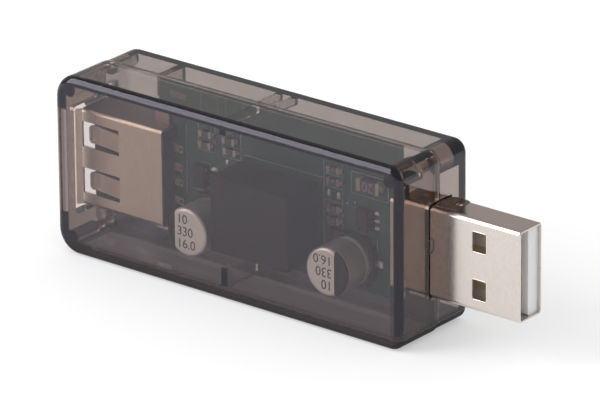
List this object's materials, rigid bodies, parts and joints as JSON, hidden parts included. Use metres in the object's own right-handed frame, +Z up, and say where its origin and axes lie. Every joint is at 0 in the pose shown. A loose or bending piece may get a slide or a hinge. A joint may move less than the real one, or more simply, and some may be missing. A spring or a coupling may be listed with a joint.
{
  "type": "usb isolator",
  "caption": "In-line isolator in a clear smoked case: flat plug at one end, matching socket at the other, with a circuit board, converter block and capacitors showing inside.",
  "frame": {"origin": "middle of the bounding box seen from above, on the surface the case stands on", "axes": "+X towards the plug's tip, +Y from the front cover to the rear cover, +Z up along the case's long narrow ends"},
  "size_m": [0.0684, 0.0138, 0.0239],
  "materials": {
    "smoked_plastic": "clear smoked grey-brown, glossy",
    "board_laminate": "green solder mask, semi-gloss",
    "nickel_plate": "nickel plated, satin",
    "gold_plate": "thin gold plate",
    "white_plastic": "moulded",
    "black_plastic": "moulded, matte",
    "can_aluminium": "satin can with a printed top",
    "tinned_wire": "tinned",
    "chip_ceramic": "fired ceramic with tinned ends"
  },
  "bodies": {
    "root": {"circuit_board": "board_laminate", "column_resistor_1": "chip_ceramic", "column_resistor_2": "chip_ceramic", "column_resistor_3": "chip_ceramic", "column_resistor_4": "chip_ceramic", "converter": "black_plastic", "converter_leg_1": "tinned_wire", "converter_leg_2": "tinned_wire", "converter_leg_3": "tinned_wire", "converter_leg_4": "tinned_wire", "front_shell": "smoked_plastic", "fuse": "chip_ceramic", "isolator_chip": "black_plastic", "left_capacitor_base": "black_plastic", "left_capacitor_can": "can_aluminium", "left_capacitor_lead_1": "tinned_wire", "left_capacitor_lead_2": "tinned_wire", "left_chip": "black_plastic", "left_resistor_1": "chip_ceramic", "left_resistor_2": "chip_ceramic", "left_resistor_3": "chip_ceramic", "left_resistor_4": "chip_ceramic", "plug_contact_1": "gold_plate", "plug_contact_2": "gold_plate", "plug_contact_3": "gold_plate", "plug_contact_4": "gold_plate", "plug_insulator": "white_plastic", "plug_shell": "nickel_plate", "rear_capacitor_1": "chip_ceramic", "rear_capacitor_2": "chip_ceramic", "rear_shell": "smoked_plastic", "right_capacitor_base": "black_plastic", "right_capacitor_can": "can_aluminium", "right_capacitor_lead_1": "tinned_wire", "right_capacitor_lead_2": "tinned_wire", "right_chip": "black_plastic", "socket_contact_1": "gold_plate", "socket_contact_2": "gold_plate", "socket_contact_3": "gold_plate", "socket_contact_4": "gold_plate", "socket_insulator": "black_plastic", "socket_shell": "nickel_plate"}
  },
  "joints": []
}
